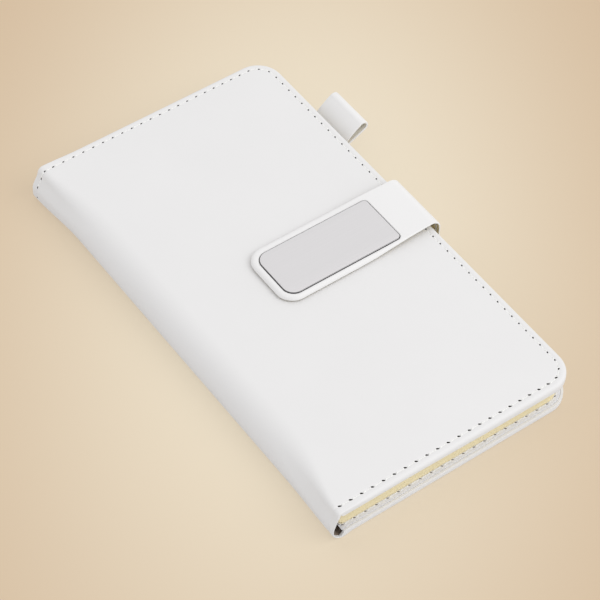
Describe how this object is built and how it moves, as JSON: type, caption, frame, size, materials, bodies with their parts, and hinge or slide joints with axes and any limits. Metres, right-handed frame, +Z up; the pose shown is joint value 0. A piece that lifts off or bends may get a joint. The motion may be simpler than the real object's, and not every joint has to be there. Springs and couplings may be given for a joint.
{
  "type": "clasp diary",
  "caption": "Slim padded leather diary, seam-stitched round its covers, with sewn cream pages, a pen loop and a magnetic strap clasp with a metal plate.",
  "frame": {"origin": "middle of the box round the part, on the underside of the back cover", "axes": "+X from the spine to the fore-edge, +Y to the head, +Z up, out of the front cover"},
  "size_m": [0.108, 0.175, 0.0164],
  "materials": {
    "white_leather": "smooth matt white leather with a fine grain",
    "lining_leather": "thin matt off-white lining leather",
    "padding_felt": "soft off-white padding",
    "grey_board": "grey binder's board",
    "white_thread": "twisted white thread",
    "gauze": "glued open-weave gauze",
    "cream_paper": "uncoated cream paper",
    "satin_steel": "satin face with polished edges",
    "plain_steel": "plain ground steel"
  },
  "bodies": {
    "back_cover": {"back_leather": "white_leather", "back_padding": "padding_felt", "back_board": "grey_board", "back_lining": "lining_leather", "back_stitching": "white_thread", "clasp_tab": "white_leather", "loop_tab": "white_leather", "rear_flyleaf": "cream_paper", "rear_mull": "gauze", "page_section_1": "cream_paper", "page_section_2": "cream_paper", "page_section_3": "cream_paper", "page_section_4": "cream_paper"},
    "spine": {"spine_leather": "white_leather"},
    "front_cover": {"front_leather": "white_leather", "front_padding": "padding_felt", "front_board": "grey_board", "front_lining": "lining_leather", "front_stitching": "white_thread", "keepers": "plain_steel"},
    "front_pages": {"front_flyleaf": "cream_paper", "front_mull": "gauze", "page_section_5": "cream_paper", "page_section_6": "cream_paper", "page_section_7": "cream_paper", "page_section_8": "cream_paper"},
    "clasp_strip": {"strip_leather": "white_leather", "strip_lining": "lining_leather"},
    "clasp_flap": {"flap_leather": "white_leather", "flap_core": "grey_board", "flap_backing": "lining_leather", "flap_magnets": "plain_steel", "clasp_plate": "satin_steel"},
    "pen_loop": {"pen_loop": "white_leather"}
  },
  "joints": [
    {"name": "back_fold", "type": "hinge", "parent": "back_cover", "child": "spine", "pos_m": [-0.05268, 0, 0.00132], "axis": [0, -1, 0], "range_deg": [0, 90]},
    {"name": "front_fold", "type": "hinge", "parent": "spine", "child": "front_cover", "pos_m": [-0.05136, 0, 0.01116], "axis": [0, -1, 0], "range_deg": [0, 90]},
    {"name": "page_fold", "type": "hinge", "parent": "back_cover", "child": "front_pages", "pos_m": [-0.0514, 0, 0.00705], "axis": [0, -1, 0], "range_deg": [0, 180]},
    {"name": "clasp_lower_fold", "type": "hinge", "parent": "back_cover", "child": "clasp_strip", "pos_m": [0.04486, 0, 0.00284], "axis": [0, 1, 0], "range_deg": [0, 90]},
    {"name": "clasp_upper_fold", "type": "hinge", "parent": "clasp_strip", "child": "clasp_flap", "pos_m": [0.04451, 0, 0.01411], "axis": [0, 1, 0], "range_deg": [0, 90]},
    {"name": "pen_loop_flex", "type": "hinge", "parent": "back_cover", "child": "pen_loop", "pos_m": [0.041, 0.0495, 0.004], "axis": [0, 1, 0], "range_deg": [-20, 30], "stiffness_Nm_per_rad": 0.02}
  ],
  "couplings": [
    {"joint": "back_fold", "follows": "front_fold", "ratio": 1},
    {"joint": "page_fold", "follows": "front_fold", "ratio": 2}
  ]
}
